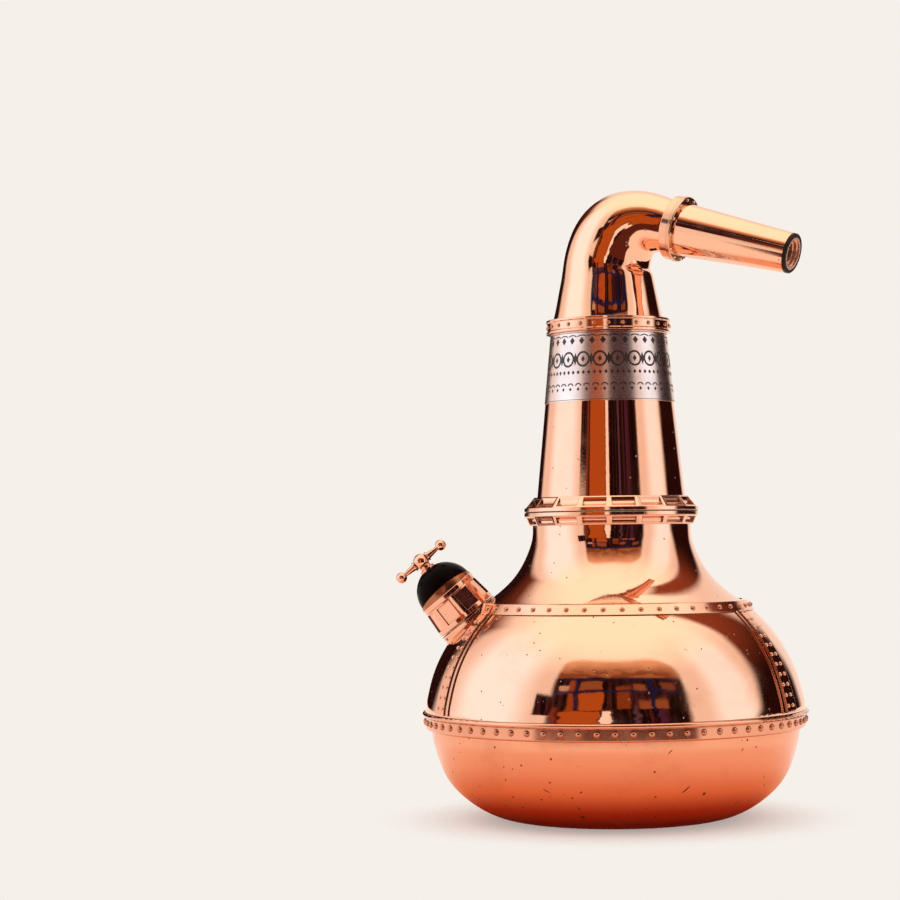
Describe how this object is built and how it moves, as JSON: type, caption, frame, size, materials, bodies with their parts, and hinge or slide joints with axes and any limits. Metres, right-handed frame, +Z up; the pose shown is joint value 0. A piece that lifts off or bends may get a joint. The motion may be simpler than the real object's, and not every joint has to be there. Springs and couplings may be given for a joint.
{
  "type": "pot still decanter",
  "caption": "Decanter shaped as a riveted copper pot still, with a tapered column, a swan neck outlet arm and a screw-capped filling spout.",
  "frame": {"origin": "centre of the flat base, on the still's vertical axis", "axes": "+Z up along the column; the outlet arm points mostly towards +X, turned 26 degrees to the front; the spout leans towards -X; the front is -Y"},
  "size_m": [0.1542, 0.1453, 0.2364],
  "materials": {
    "copper": "polished copper, lightly worn",
    "brass_ring": "polished brass",
    "label": "satin foil",
    "dome": "gloss black",
    "insert": "moulded",
    "liner": "soft matte",
    "gasket": "matte",
    "seal": "matte"
  },
  "bodies": {
    "still": {"pot_bowl": "copper", "waist_band": "copper", "waist_rivets": "copper", "shoulder_panel_front": "copper", "shoulder_panel_right_rear": "copper", "shoulder_panel_left_rear": "copper", "seam_strap_left": "copper", "seam_strap_right": "copper", "seam_strap_rear": "copper", "seam_rivets_left": "copper", "seam_rivets_right": "copper", "seam_rivets_rear": "copper", "shoulder_band": "copper", "shoulder_rivets": "copper", "neck_flare": "copper", "collar_lower_flange": "copper", "collar_gasket": "gasket", "collar_upper_flange": "copper", "column": "copper", "label_sleeve": "label", "head_band": "copper", "head_rivets": "copper", "swan_neck_elbow": "copper", "arm_flange_inner": "copper", "arm_flange_outer": "brass_ring", "arm_flange_bolts": "brass_ring", "lyne_arm": "copper", "arm_end_ring": "seal", "arm_end_bush": "copper", "spout_saddle": "copper", "spout_saddle_rivets": "copper", "spout_neck": "copper"},
    "cap_liner": {"cap_liner": "liner"},
    "cap": {"cap_insert": "insert", "cap_skirt": "copper", "cap_band": "copper", "cap_dome": "dome", "cap_dome_lips": "copper", "handle_stem": "copper", "handle_hub": "copper", "handle_arm_outer": "copper", "handle_arm_inner": "copper", "handle_ball_outer": "copper", "handle_ball_inner": "copper"}
  },
  "joints": [
    {"name": "cap_lift", "type": "slide", "parent": "still", "child": "cap_liner", "axis": [-0.6332, -0.0443, 0.7727], "range_m": [0, 0.0128]},
    {"name": "cap_turn", "type": "hinge", "parent": "cap_liner", "child": "cap", "pos_m": [-0.05516, -0.00386, 0.0766], "axis": [-0.6332, -0.0443, 0.7727], "range_deg": [0, 1440]}
  ],
  "couplings": [
    {"joint": "cap_lift", "follows": "cap_turn", "m_per_rad": 0.0005093}
  ]
}
